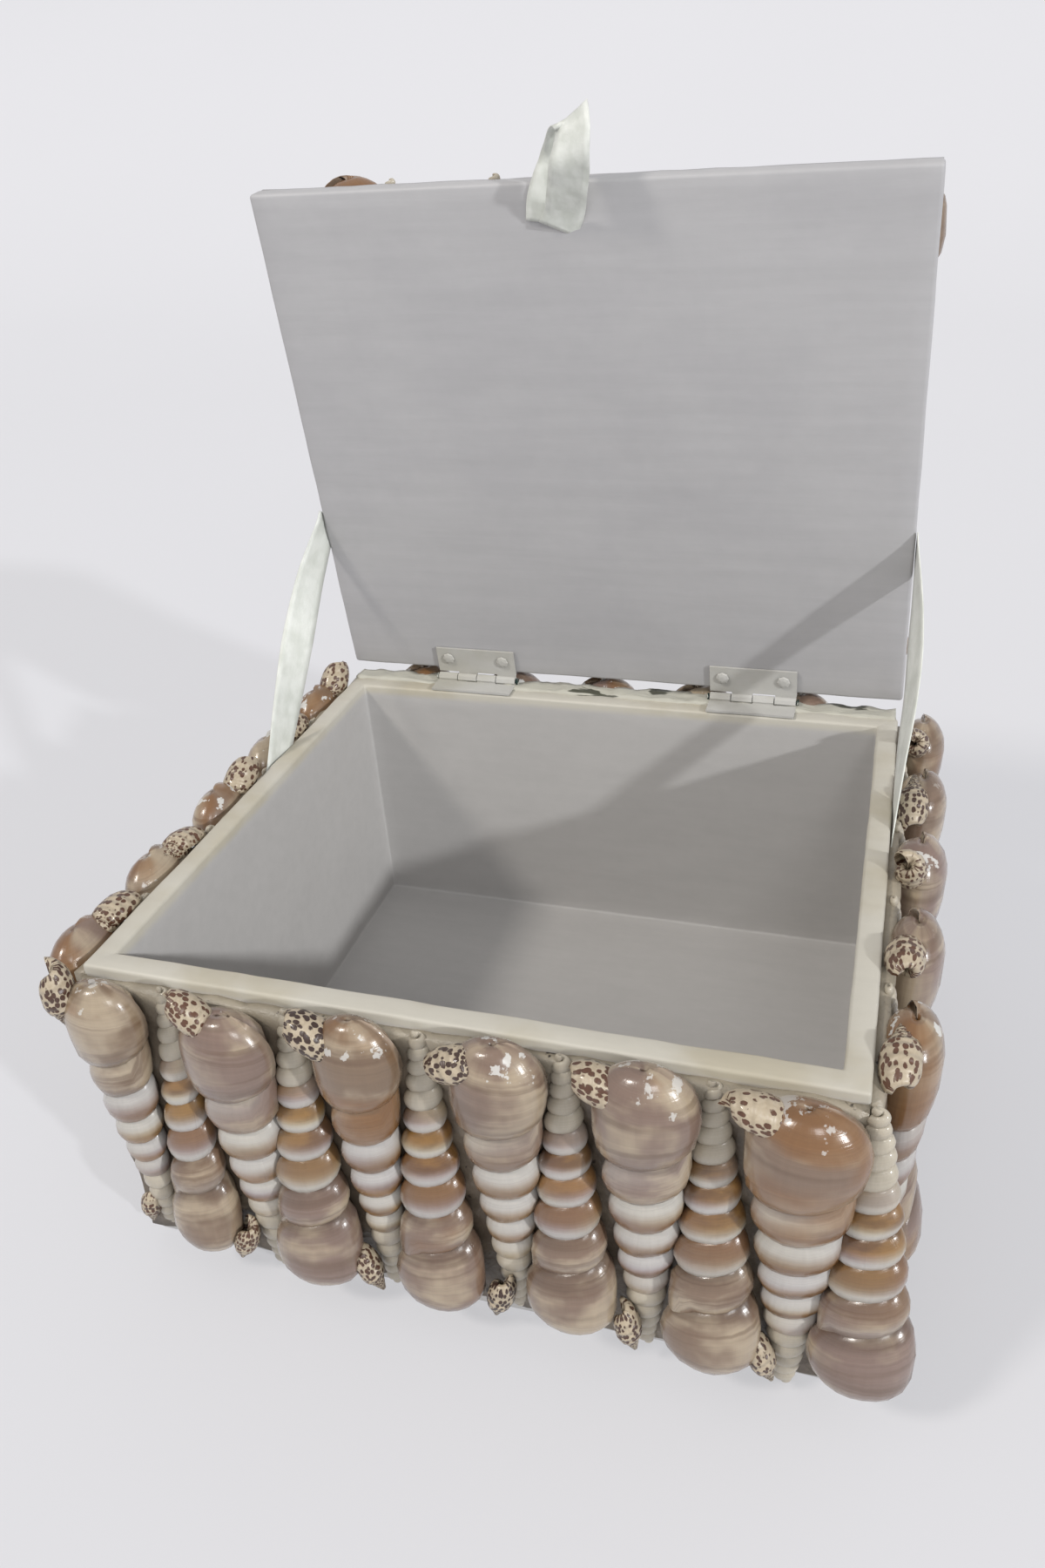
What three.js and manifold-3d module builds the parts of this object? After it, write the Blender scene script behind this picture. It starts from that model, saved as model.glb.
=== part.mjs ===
// Shell box: a painted board box with a hinged lid, set round with turret shells.
// Millimetres, +Z up, the front towards -Y. The origin is the middle of the underside.
// The lid stands open, leaning a little forward, held by a ribbon stay on each side.

import * as THREE from 'three';
import { mergeVertices } from 'three/addons/utils/BufferGeometryUtils.js';
import Module from 'manifold-3d';

const wasm = await Module();
wasm.setup();

// Box
const boxWidth = 200;
const boxDepth = 170;
const boxHeight = 100;
const wallThickness = 6.5;
const floorThickness = 7.5;
const clearance = 0.3;

// Lid
const lidThickness = 6.5;
const lidOverhang = 1;
const lidLean = 7.8;

// Hinges
const hingeWidth = 30;
const hingeFromSide = 34;
const leafThickness = 0.8;
const rimLeafReach = 9;
const lidLeafReach = 12;
const knuckleRadius = 1.7;
const knuckleCount = 4;
const knuckleBore = 1;
const knuckleToWall = 0.8;
const pinRadius = 0.6;
const pinHeadRadius = 1.2;
const headRadius = 2.3;
const headHeight = 0.8;
const headSpacing = 21;
const headFromAxis = 7.8;
const closedHeadGap = 0.2;

// Turret shells round the box
const shellLength = 92;
const shellWidth = 25.5;
const shellFlatness = 0.8;
const shellWhorls = 5;
const shellSides = 6;
const shellPitch = 17.5;
const rimReveal = 2.4;
const lengthVariation = 0.02;
const widthVariation = 0.04;

// Where each row begins and ends, from the box's corners
const frontRowStart = 7;
const frontRowOverhang = 1.7;
const rightRowStart = 20;
const rightRowEnd = 8.4;
const leftRowInset = 14.2;
const backRowInset = 11.5;

// Small spotted shells
const spottedLength = 14;
const spottedWidth = 7;
const spottedSides = 5;

// Shells on the lid
const lidShellLength = 81;
const lidShellWidth = 21;
const lidShellWhorls = 2;
const lidShellSides = 6;
const lidShellEdge = 3;
const glueThickness = 2;
const glueSink = 1;
const glueInset = 1.5;

// Ribbons
const ribbonWidth = 11.5;
const ribbonThickness = 0.6;
const stayLidReach = 58;
const stayFromBack = 62;
const stayGlueHeight = 2.2;
const stayEdgeMargin = 0.8;
const pullWidth = 16;
const pullHeight = 21;
const pullGlueLength = 9;
const pullSlant = 22;

// The pin runs behind the back wall, and its height leaves room for both leaves and the screw heads.
const axisBehind = knuckleRadius + knuckleToWall;
const leafStack = 2 * (clearance + leafThickness);
const axisAboveRim = (leafStack + clearance + headHeight + closedHeadGap) / 2;
const axisY = boxDepth / 2 + axisBehind;
const axisZ = boxHeight + axisAboveRim;
const openAngle = THREE.MathUtils.degToRad(90 - lidLean);
const bodyRadius = shellWidth / 2;

const paint = new THREE.MeshStandardMaterial({ color: 0xc4c3bf, roughness: 0.55, metalness: 0 });
const turret = new THREE.MeshStandardMaterial({ color: 0xa08c7a, roughness: 0.28, metalness: 0 });
const satin = new THREE.MeshStandardMaterial({ color: 0xdadfdb, roughness: 0.4, metalness: 0 });
const hingeSteel = new THREE.MeshStandardMaterial({ color: 0xb9bab6, roughness: 0.5, metalness: 0.2 });
const pinSteel = new THREE.MeshStandardMaterial({ color: 0x4c5a58, roughness: 0.6, metalness: 0.6 });

const part = new THREE.Group();
const boxGroup = new THREE.Group();
const lidGroup = new THREE.Group();
part.add(boxGroup, lidGroup);
lidGroup.position.set(0, axisY, axisZ);
lidGroup.rotation.x = -openAngle;

function addMesh(parent, name, geometry, material) {
  const mesh = new THREE.Mesh(geometry, material);
  mesh.name = name;
  parent.add(mesh);
  return mesh;
}

// Solids for joining and cutting

function solidOf(geometry) {
  const bare = geometry.clone();
  bare.deleteAttribute('normal');
  bare.deleteAttribute('uv');
  const merged = mergeVertices(bare, 1e-4);
  const index = merged.index.array;
  const kept = [];
  for (let i = 0; i < index.length; i += 3) {
    const [a, b, c] = [index[i], index[i + 1], index[i + 2]];
    if (a !== b && b !== c && c !== a) kept.push(a, b, c);
  }
  const vertProperties = new Float32Array(merged.attributes.position.array);
  const triVerts = new Uint32Array(kept);
  return new wasm.Manifold(new wasm.Mesh({ numProp: 3, vertProperties, triVerts }));
}

function geometryOf(solid) {
  const mesh = solid.getMesh();
  const geometry = new THREE.BufferGeometry();
  geometry.setAttribute('position', new THREE.BufferAttribute(mesh.vertProperties, 3));
  geometry.setIndex(new THREE.BufferAttribute(mesh.triVerts, 1));
  return geometry;
}

function joined(geometries) {
  let whole = solidOf(geometries[0]);
  for (const geometry of geometries.slice(1)) whole = whole.add(solidOf(geometry));
  return geometryOf(whole);
}

function block(lowX, highX, lowY, highY, lowZ, highZ) {
  const geometry = new THREE.BoxGeometry(highX - lowX, highY - lowY, highZ - lowZ);
  geometry.translate((lowX + highX) / 2, (lowY + highY) / 2, (lowZ + highZ) / 2);
  return geometry;
}

// Turned forms run along +Z, with the wide end at zero.
function turned(profile, sides, firstAngle = 0) {
  const points = profile.map(([radius, along]) => new THREE.Vector2(radius, along));
  const geometry = new THREE.LatheGeometry(points, sides, firstAngle);
  geometry.rotateX(Math.PI / 2);
  return geometry;
}

// Box body: walls and floor

function boxBody() {
  const x = boxWidth / 2;
  const y = boxDepth / 2;
  const inX = x - wallThickness;
  const inY = y - wallThickness;
  const outside = solidOf(block(-x, x, -y, y, 0, boxHeight));
  const inside = solidOf(block(-inX, inX, -inY, inY, floorThickness, boxHeight + 1));
  return geometryOf(outside.subtract(inside));
}

// A turret shell: a rounded body whorl, then whorls that narrow to the tip, each fuller than the
// groove above it.
function turretProfile(length, radius, whorls) {
  const bodyEnd = 0.22;
  const groove = 0.82;
  const tipShare = 0.14;
  const shoulderShare = 0.86;
  const narrowing = 0.82;
  const envelope = (share) => {
    const fromTip = (1 - share) / (1 - bodyEnd);
    return radius * (tipShare + (shoulderShare - tipShare) * fromTip);
  };
  const profile = [[0, 0], [0.6 * radius, 0.012 * length], [radius, 0.115 * length]];
  const total = (1 - narrowing ** whorls) / (1 - narrowing);
  let start = bodyEnd;
  for (let whorl = 0; whorl < whorls; whorl += 1) {
    const height = ((1 - bodyEnd) * narrowing ** whorl) / total;
    const fullest = start + (whorl < whorls - 1 ? 0.38 : 0.75) * height;
    profile.push([groove * envelope(start), start * length]);
    profile.push([envelope(fullest), fullest * length]);
    start += height;
  }
  profile.push([0, length]);
  return profile;
}

// Lays a turned shell with its side along the wall plane y = 0, outwards to -y, its base at z = 0.
function laidShell(profile, sides, width, length) {
  const geometry = turned(profile, sides, Math.PI / sides);
  geometry.scale(1, shellFlatness, 1);
  const tipRadius = 0.06 * width;
  const depthRadius = (width * shellFlatness) / 2;
  const tilt = Math.atan((depthRadius - tipRadius) / (length * 0.86));
  geometry.rotateX(-tilt);
  geometry.computeBoundingBox();
  geometry.translate(0, -clearance - geometry.boundingBox.max.y, -geometry.boundingBox.min.z);
  return geometry;
}

// Puts a laid shell in its column, wide end down, or turned over with the wide end up.
function stoodShell(geometry, x, baseZ, wideEndUp, length) {
  if (wideEndUp) {
    geometry.rotateY(Math.PI);
    geometry.translate(0, 0, length);
  }
  geometry.translate(x, 0, baseZ);
  return geometry;
}

function spottedShell() {
  const r = spottedWidth / 2;
  const l = spottedLength;
  const profile = [[0, 0], [0.75 * r, 0.08 * l], [r, 0.3 * l], [0.55 * r, 0.7 * l], [0, l]];
  const geometry = turned(profile, spottedSides);
  geometry.translate(0, 0, -l / 2);
  return geometry;
}

// One row along a wall. The shells stand alternately wide end up and wide end down.
function addShellRow(row) {
  const run = row.end - row.start;
  const count = Math.floor(run / shellPitch) + 1;
  const step = run / (count - 1);
  const group = new THREE.Group();
  group.rotation.z = row.turn;
  group.position.set(row.wallDistance * Math.sin(row.turn), -row.wallDistance * Math.cos(row.turn), 0);
  boxGroup.add(group);
  for (let i = 0; i < count; i += 1) {
    const wideEndUp = (i % 2 === 0) === row.firstWideEndUp;
    const length = shellLength * (1 - lengthVariation * (0.5 + 0.5 * Math.sin(2.3 * i + row.turn)));
    const width = shellWidth * (1 - widthVariation * (0.5 + 0.5 * Math.cos(1.7 * i + row.turn)));
    const x = row.start + i * step;
    const top = boxHeight - rimReveal;
    const profile = turretProfile(length, width / 2, shellWhorls);
    const laid = laidShell(profile, shellSides, width, length);
    const stood = stoodShell(laid, x, top - length, wideEndUp, length);
    const pieces = [stood];
    if (wideEndUp && row.spotted) pieces.push(...spottedPair(x, top, length));
    const name = `${row.name}_shell_${String(i + 1).padStart(2, '0')}`;
    addMesh(group, name, pieces.length > 1 ? joined(pieces) : stood, turret);
  }
}

// The small shells of a column: one on the shoulder of its wide end, one beside its tip.
function spottedPair(x, top, length) {
  const depth = shellFlatness * bodyRadius;
  const upper = spottedShell();
  upper.rotateY(THREE.MathUtils.degToRad(-24));
  upper.translate(x - 0.72 * bodyRadius, -depth, top - spottedLength / 2 - 0.6);
  const lower = spottedShell();
  lower.rotateY(THREE.MathUtils.degToRad(-12));
  lower.translate(x - 0.15 * bodyRadius, -0.55 * depth, top - length + spottedLength / 2 + 4);
  return [upper, lower];
}

// Hinge leaf in its own frame: the pin's axis is X, and the plate runs towards -Y below the axis.
function hingeLeaf(reach) {
  const knuckleLength = hingeWidth / knuckleCount;
  const plateLow = -(axisAboveRim - clearance);
  const plateHigh = plateLow + leafThickness;
  const plateEnd = -(knuckleRadius + clearance);
  const x = hingeWidth / 2;
  const pieces = [block(-x, x, -reach, plateEnd, plateLow, plateHigh)];
  const middleOfWall = -(knuckleRadius + knuckleBore) / 2;
  for (let i = 0; i < knuckleCount; i += 2) {
    const low = -x + i * knuckleLength + clearance / 2;
    const high = low + knuckleLength - clearance;
    pieces.push(knuckle(low, high));
    pieces.push(block(low, high, plateEnd - 1, middleOfWall, plateLow, plateHigh));
  }
  return joined(pieces);
}

function knuckle(lowX, highX) {
  const ring = new THREE.Shape();
  ring.absarc(0, 0, knuckleRadius, 0, 2 * Math.PI);
  const bore = new THREE.Path();
  bore.absarc(0, 0, knuckleBore, 0, 2 * Math.PI, true);
  ring.holes.push(bore);
  const options = { depth: highX - lowX, bevelEnabled: false, curveSegments: 4 };
  const geometry = new THREE.ExtrudeGeometry(ring, options);
  geometry.rotateY(Math.PI / 2);
  geometry.translate(lowX, 0, 0);
  return geometry;
}

function hingePin() {
  const half = hingeWidth / 2 + clearance;
  const rivet = 0.5;
  const profile = [
    [0, -half - rivet],
    [pinHeadRadius, -half - rivet],
    [pinHeadRadius, -half],
    [pinRadius, -half],
    [pinRadius, half],
    [pinHeadRadius, half],
    [pinHeadRadius, half + rivet],
    [0, half + rivet],
  ];
  const geometry = turned(profile, 8);
  geometry.rotateY(Math.PI / 2);
  return geometry;
}

function screwHead() {
  const r = headRadius;
  const h = headHeight;
  return turned([[0, 0], [r, 0], [0.86 * r, 0.55 * h], [0.45 * r, 0.94 * h], [0, h]], 8);
}

function addHinge(side, name) {
  const x = side * (boxWidth / 2 - hingeFromSide - hingeWidth / 2);
  const rimLeaf = addMesh(boxGroup, `${name}_rim_leaf`, hingeLeaf(rimLeafReach), hingeSteel);
  rimLeaf.position.set(x, axisY, axisZ);
  const pin = addMesh(boxGroup, `${name}_pin`, hingePin(), pinSteel);
  pin.position.set(x, axisY, axisZ);
  const lidLeaf = addMesh(lidGroup, `${name}_lid_leaf`, hingeLeaf(lidLeafReach), hingeSteel);
  lidLeaf.position.set(x, 0, 0);
  lidLeaf.rotation.y = Math.PI;
  const headZ = axisAboveRim - 2 * clearance - leafThickness;
  for (const [place, towards] of [['outer', side], ['inner', -side]]) {
    const screw = addMesh(lidGroup, `${name}_screw_${place}`, screwHead(), hingeSteel);
    screw.rotation.x = Math.PI;
    screw.position.set(x + (towards * headSpacing) / 2, -headFromAxis, headZ);
  }
}

// Lid board, in the lid's frame as closed: the pin's axis is X, and the board runs towards -Y.
const lidInnerZ = axisAboveRim;
const lidOuterZ = lidInnerZ + lidThickness;
const lidHingeEdge = -axisBehind;
const lidFreeEdge = lidHingeEdge - boxDepth;

function lidBoard() {
  const x = boxWidth / 2 + lidOverhang;
  return block(-x, x, lidFreeEdge, lidHingeEdge, lidInnerZ, lidOuterZ);
}

// Shells on the lid, in two rows. Each half row is set in one bed of glue.
function addLidShells(name, nearPull, side) {
  const run = boxWidth - 2 * lidShellEdge;
  const count = Math.floor(run / shellPitch) + 1;
  const step = run / (count - 1);
  const rowDepth = boxDepth / 2;
  const rowMiddle = lidHingeEdge - rowDepth * (nearPull ? 1.5 : 0.5);
  const outerX = boxWidth / 2 + lidOverhang - glueInset;
  const innerX = clearance / 2;
  const lowX = side < 0 ? -outerX : innerX;
  const highX = side < 0 ? -innerX : outerX;
  const bedHalf = rowDepth / 2 - glueInset;
  const bedZ = lidOuterZ + clearance;
  const bedTop = bedZ + glueThickness;
  const pieces = [block(lowX, highX, rowMiddle - bedHalf, rowMiddle + bedHalf, bedZ, bedTop)];
  const profile = turretProfile(lidShellLength, lidShellWidth / 2, lidShellWhorls);
  for (let i = 0; i < count; i += 1) {
    const x = -run / 2 + i * step;
    if (Math.sign(x) !== side) continue;
    const shell = laidShell(profile, lidShellSides, lidShellWidth, lidShellLength);
    shell.translate(0, clearance, -lidShellLength / 2);
    if ((i % 2 === 0) === nearPull) shell.rotateY(Math.PI);
    shell.rotateX(-Math.PI / 2);
    shell.translate(x, rowMiddle, bedTop - glueSink);
    pieces.push(shell);
  }
  addMesh(lidGroup, name, joined(pieces), turret);
}

// A stay is a flat strip, cut aslant at both ends, from the lid's side edge to the outside of the rim.
// It is drawn in the plane of the side, Y across and Z up, and leans out to reach the wider lid.
function addStay(name, side) {
  const alongLid = new THREE.Vector2(-Math.cos(openAngle), Math.sin(openAngle));
  const outOfLid = new THREE.Vector2(Math.sin(openAngle), Math.cos(openAngle));
  const onLid = (along, depth) => {
    const point = new THREE.Vector2(axisY, axisZ).addScaledVector(alongLid, along);
    return point.addScaledVector(outOfLid, lidInnerZ + depth);
  };
  const foot = new THREE.Vector2(boxDepth / 2 - stayFromBack, boxHeight - stayGlueHeight);
  const head = onLid(stayLidReach, 0);
  const direction = head.clone().sub(foot).normalize();
  const footHalf = ribbonWidth / 2 / Math.abs(direction.y);
  const headHalf = ribbonWidth / 2 / Math.abs(direction.cross(alongLid));
  const glued = lidThickness - stayEdgeMargin;
  const outline = new THREE.Shape([
    new THREE.Vector2(foot.x - footHalf, foot.y),
    new THREE.Vector2(foot.x + footHalf, foot.y),
    onLid(stayLidReach - headHalf, 0),
    onLid(stayLidReach - headHalf, glued),
    onLid(stayLidReach + headHalf, glued),
    onLid(stayLidReach + headHalf, 0),
  ]);
  const geometry = new THREE.ExtrudeGeometry(outline, { depth: ribbonThickness, bevelEnabled: false });
  const [x, y, z] = [[1, 0, 0], [0, 1, 0], [0, 0, 1]].map((axis) => new THREE.Vector3(...axis));
  geometry.applyMatrix4(new THREE.Matrix4().makeBasis(y, z, x));
  const lowestOnLid = onLid(stayLidReach - headHalf, 0).y;
  const slope = lidOverhang / (lowestOnLid - boxHeight);
  geometry.applyMatrix4(new THREE.Matrix4().makeShear(0, 0, 0, 0, side * slope, 0));
  const inner = boxWidth / 2 + clearance - slope * boxHeight;
  geometry.translate(side > 0 ? inner : -inner - ribbonThickness, 0, 0);
  addMesh(boxGroup, name, geometry, satin);
}

// The pull is a slanting strip on the lid's inner face, standing past its free edge to a point.
function addPull() {
  const half = pullWidth / 2;
  const slant = Math.tan(THREE.MathUtils.degToRad(pullSlant));
  const at = (across, past) => new THREE.Vector2(across + past * slant, lidFreeEdge - past);
  const shoulder = 0.6 * pullHeight;
  const outline = new THREE.Shape([
    at(-half, -pullGlueLength),
    at(half, -pullGlueLength),
    at(half, shoulder),
    at(0, pullHeight),
    at(-half, shoulder),
  ]);
  const geometry = new THREE.ExtrudeGeometry(outline, { depth: ribbonThickness, bevelEnabled: false });
  geometry.translate(0, 0, lidInnerZ - clearance - ribbonThickness);
  addMesh(lidGroup, 'pull_ribbon', geometry, satin);
}

// Assembly
addMesh(boxGroup, 'box_body', boxBody(), paint);
addMesh(lidGroup, 'lid_board', lidBoard(), paint);
addHinge(-1, 'hinge_left');
addHinge(1, 'hinge_right');

const halfWidth = boxWidth / 2;
const halfDepth = boxDepth / 2;
const rows = [
  {
    name: 'front',
    turn: 0,
    wallDistance: halfDepth,
    start: -halfWidth + frontRowStart,
    end: halfWidth + frontRowOverhang,
    firstWideEndUp: true,
    spotted: true,
  },
  {
    name: 'right',
    turn: Math.PI / 2,
    wallDistance: halfWidth,
    start: -halfDepth + rightRowStart,
    end: halfDepth - rightRowEnd,
    firstWideEndUp: true,
    spotted: true,
  },
  {
    name: 'back',
    turn: Math.PI,
    wallDistance: halfDepth,
    start: -halfWidth + backRowInset,
    end: halfWidth - backRowInset,
    firstWideEndUp: false,
    spotted: false,
  },
  {
    name: 'left',
    turn: -Math.PI / 2,
    wallDistance: halfWidth,
    start: -halfDepth + leftRowInset,
    end: halfDepth - leftRowInset,
    firstWideEndUp: true,
    spotted: true,
  },
];
for (const row of rows) addShellRow(row);

addLidShells('lid_shells_pull_left', true, -1);
addLidShells('lid_shells_pull_right', true, 1);
addLidShells('lid_shells_hinge_left', false, -1);
addLidShells('lid_shells_hinge_right', false, 1);

addStay('stay_ribbon_left', -1);
addStay('stay_ribbon_right', 1);
addPull();

export default part;
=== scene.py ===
# %% [markdown]
# # A shell box
#
# The object is a small box of painted board. Turret shells stand side by side round its walls, one with
# its wide end up and the next with its wide end down, and more lie over the lid. Two satin ribbons hold
# the lid open and a third one is the pull.
#
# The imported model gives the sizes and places. Everything here is in metres in that same frame: +Z is up,
# the front looks towards -Y, and the origin is the middle of the underside.

# %% Load the frame
import math
import random

import bpy
import numpy as np
from mathutils import Matrix, Vector


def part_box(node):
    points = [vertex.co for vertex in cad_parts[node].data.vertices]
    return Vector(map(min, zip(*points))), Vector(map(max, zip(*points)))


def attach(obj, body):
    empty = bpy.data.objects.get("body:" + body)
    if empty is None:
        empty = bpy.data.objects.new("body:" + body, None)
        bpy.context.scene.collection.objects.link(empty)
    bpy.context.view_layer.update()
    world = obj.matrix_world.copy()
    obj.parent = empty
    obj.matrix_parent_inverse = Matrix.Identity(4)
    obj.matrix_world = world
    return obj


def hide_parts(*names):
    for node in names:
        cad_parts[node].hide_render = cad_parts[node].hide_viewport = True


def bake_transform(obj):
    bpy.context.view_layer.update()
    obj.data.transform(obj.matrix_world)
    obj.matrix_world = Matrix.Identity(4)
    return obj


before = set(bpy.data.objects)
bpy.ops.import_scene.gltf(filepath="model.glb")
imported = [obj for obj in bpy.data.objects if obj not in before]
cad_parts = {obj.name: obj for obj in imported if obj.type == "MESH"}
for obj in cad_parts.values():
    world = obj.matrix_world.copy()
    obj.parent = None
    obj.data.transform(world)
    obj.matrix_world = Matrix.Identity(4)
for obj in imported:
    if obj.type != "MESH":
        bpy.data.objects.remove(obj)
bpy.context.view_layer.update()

MM = 0.001

# %% [markdown]
# ## Camera
#
# The picture was taken from close by, in front and to the right, looking down into the open box. A short
# lens held near the object gives that strong perspective. The place, the turn and the small lens shift
# were worked out from the straight edges of the rim and of the lid.

# %% Camera
IMAGE_HEIGHT = 1800
SENSOR_HEIGHT = 36
FOCAL_PIXELS = 1357.8
CENTRE_OFFSET = (34.4, -115.4)
CAMERA_PLACE = Vector((98.37, -279.62, 296.56)) * MM
camera_right = Vector((0.95778, 0.28058, -0.06272)).normalized()
camera_forward = Vector((-0.27809, 0.84875, -0.44977)).normalized()
camera_up = camera_right.cross(camera_forward).normalized()

camera_data = bpy.data.cameras.new("camera")
camera = bpy.data.objects.new("camera", camera_data)
bpy.context.scene.collection.objects.link(camera)
camera_data.sensor_fit = "VERTICAL"
camera_data.sensor_height = SENSOR_HEIGHT
camera_data.lens = FOCAL_PIXELS / IMAGE_HEIGHT * SENSOR_HEIGHT
camera_data.shift_x = -CENTRE_OFFSET[0] / IMAGE_HEIGHT
camera_data.shift_y = CENTRE_OFFSET[1] / IMAGE_HEIGHT
camera_data.clip_start = 0.01
turn = Matrix((camera_right, camera_up, -camera_forward)).transposed().to_4x4()
camera.matrix_world = Matrix.Translation(CAMERA_PLACE) @ turn
bpy.context.scene.camera = camera
bpy.context.scene.view_settings.view_transform = "Standard"
print("lens in mm:", round(camera_data.lens, 2))

# %% [markdown]
# ## Light and floor
#
# Most of the light is soft and even. A cool key light comes in low from the right, as from a window, and
# throws the shadow of the right ribbon across the lid and into the box. A weaker, warmer light comes from
# high on the left. Both directions were worked out from the edges of shadows on the back wall. A small
# panel in front gives the shells their bright spots. The floor is one pale sheet that curves up behind
# the object, so no horizon shows.

# %% Light
def far_light(name, direction, strength, angle, colour=(1, 1, 1)):
    """A sun that shines along a direction. Its strength is what a surface square to it receives."""
    lamp_data = bpy.data.lights.new(name, "SUN")
    lamp_data.energy = strength * math.pi
    lamp_data.angle = math.radians(angle)
    lamp_data.color = colour
    lamp = bpy.data.objects.new(name, lamp_data)
    bpy.context.scene.collection.objects.link(lamp)
    lamp.matrix_world = Vector(direction).to_track_quat("-Z", "Y").to_matrix().to_4x4()


far_light("key_light", (-0.819, 0.44, -0.368), 0.56, 2.5, (0.98, 0.99, 1.0))
far_light("warm_light", (0.50, 0.45, -0.74), 0.40, 9, (1.0, 0.95, 0.88))

panel_data = bpy.data.lights.new("highlight_panel", "AREA")
panel_data.size = 0.22
panel_data.energy = 1.6
panel = bpy.data.objects.new("highlight_panel", panel_data)
bpy.context.scene.collection.objects.link(panel)
panel_place = Vector((0.35, -0.8, 0.75))
panel_aim = (Vector((0, 0, 0.05)) - panel_place).to_track_quat("-Z", "Y").to_matrix().to_4x4()
panel.matrix_world = Matrix.Translation(panel_place) @ panel_aim

world = bpy.data.worlds.new("studio")
world.use_nodes = True
world.node_tree.nodes["Background"].inputs["Color"].default_value = (0.985, 0.985, 1.0, 1)
world.node_tree.nodes["Background"].inputs["Strength"].default_value = 0.63
bpy.context.scene.world = world


# %% Floor
def only_select(piece):
    if bpy.context.object and bpy.context.object.mode != "OBJECT":
        bpy.ops.object.mode_set(mode="OBJECT")
    bpy.ops.object.select_all(action="DESELECT")
    piece.select_set(True)
    bpy.context.view_layer.objects.active = piece


def nothing_selected():
    bpy.ops.object.select_all(action="DESELECT")


FLOOR_SIZE = 5.0
nothing_selected()
bpy.ops.mesh.primitive_plane_add(size=FLOOR_SIZE, location=(0, 0, 0))
floor = bpy.context.object
floor.name = "floor"
bpy.ops.object.mode_set(mode="EDIT")
bpy.ops.mesh.select_mode(type="EDGE")
bpy.ops.mesh.select_all(action="DESELECT")
bpy.ops.object.mode_set(mode="OBJECT")
for edge in floor.data.edges:
    ends = [floor.data.vertices[i].co for i in edge.vertices]
    edge.select = all(end.y > FLOOR_SIZE / 2 - MM for end in ends)
bpy.ops.object.mode_set(mode="EDIT")
bpy.ops.mesh.extrude_region_move(TRANSFORM_OT_translate={"value": (0, 0, 3.0)})
bpy.ops.object.mode_set(mode="OBJECT")
bend = floor.modifiers.new("bend", "BEVEL")
bend.width = 1.2
bend.segments = 24
bpy.ops.object.modifier_apply(modifier=bend.name)
bpy.ops.object.shade_smooth()
print("floor faces:", len(floor.data.polygons))

# %% [markdown]
# ## Colours and small tools for materials
#
# Colours are written as they look on a screen and turned into light values. Short helpers add a shader
# node, set its inputs and link it, so that each material reads from top to bottom.


# %% Material tools
def screen_colour(code):
    values = [int(code[i:i + 2], 16) / 255 for i in (0, 2, 4)]
    return (*[v / 12.92 if v <= 0.04045 else ((v + 0.055) / 1.055) ** 2.4 for v in values], 1)


def set_input(tree, socket, value):
    """Links a value that comes from another node, or writes a plain one. A text is a screen colour."""
    if isinstance(value, bpy.types.NodeSocket):
        tree.links.new(value, socket)
    else:
        socket.default_value = screen_colour(value) if isinstance(value, str) else value


def add_node(tree, kind, inputs=None, **settings):
    node = tree.nodes.new(kind)
    for key, value in settings.items():
        setattr(node, key, value)
    for key, value in (inputs or {}).items():
        set_input(tree, node.inputs[key], value)
    return node


def maths(tree, operation, a, b=0.0):
    return add_node(tree, "ShaderNodeMath", {0: a, 1: b}, operation=operation).outputs[0]


def ramp(tree, value, low, high, out_low=0.0, out_high=1.0):
    """Goes smoothly from one number to another while the value goes from low to high."""
    return add_node(tree, "ShaderNodeMapRange", {
        "Value": value, "From Min": low, "From Max": high, "To Min": out_low, "To Max": out_high,
    }, interpolation_type="SMOOTHSTEP").outputs["Result"]


def blended(tree, share, first, second, kind="MIX"):
    """Mixes two colours: the first at share 0, the second at share 1."""
    return add_node(tree, "ShaderNodeMix", {0: share, 6: first, 7: second},
                    data_type="RGBA", blend_type=kind).outputs[2]


def new_material(name, values=None):
    """A material, its tree and its shader, with the values that are the same all over it."""
    material = bpy.data.materials.new(name)
    material.use_nodes = True
    tree = material.node_tree
    shader = tree.nodes["Principled BSDF"]
    for key, value in (values or {}).items():
        shader.inputs[key].default_value = value
    return material, tree, shader


def new_group(name, inputs, outputs):
    group = bpy.data.node_groups.new(name, "ShaderNodeTree")
    for label, kind, value in inputs:
        socket = group.interface.new_socket(name=label, in_out="INPUT", socket_type=kind)
        if value is not None:
            socket.default_value = value
    for label, kind in outputs:
        group.interface.new_socket(name=label, in_out="OUTPUT", socket_type=kind)
    return group, group.nodes.new("NodeGroupInput"), group.nodes.new("NodeGroupOutput")


def object_place(tree):
    """The place of a point in metres, for patterns that don't depend on how a piece is cut."""
    return add_node(tree, "ShaderNodeTexCoord").outputs["Object"]


def height_of(tree, place):
    return add_node(tree, "ShaderNodeSeparateXYZ", {"Vector": place}).outputs["Z"]


def stretched(tree, place, by):
    return add_node(tree, "ShaderNodeVectorMath", {0: place, 1: by}, operation="MULTIPLY").outputs[0]


def noise(tree, place, scale, detail, roughness=0.5):
    return add_node(tree, "ShaderNodeTexNoise", {
        "Vector": place, "Scale": scale, "Detail": detail, "Roughness": roughness}).outputs["Fac"]


def grey(tree, value):
    """One number as a colour, to make another colour lighter or darker by it."""
    return add_node(tree, "ShaderNodeCombineColor", {0: value, 1: value, 2: value}).outputs[0]


def add_bump(tree, shader, height, distance, strength):
    """Lets a height tilt the surface. The distance is what a height of one stands for, in metres."""
    bump = add_node(tree, "ShaderNodeBump", {"Height": height, "Distance": distance, "Strength": strength})
    tree.links.new(bump.outputs["Normal"], shader.inputs["Normal"])


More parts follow.
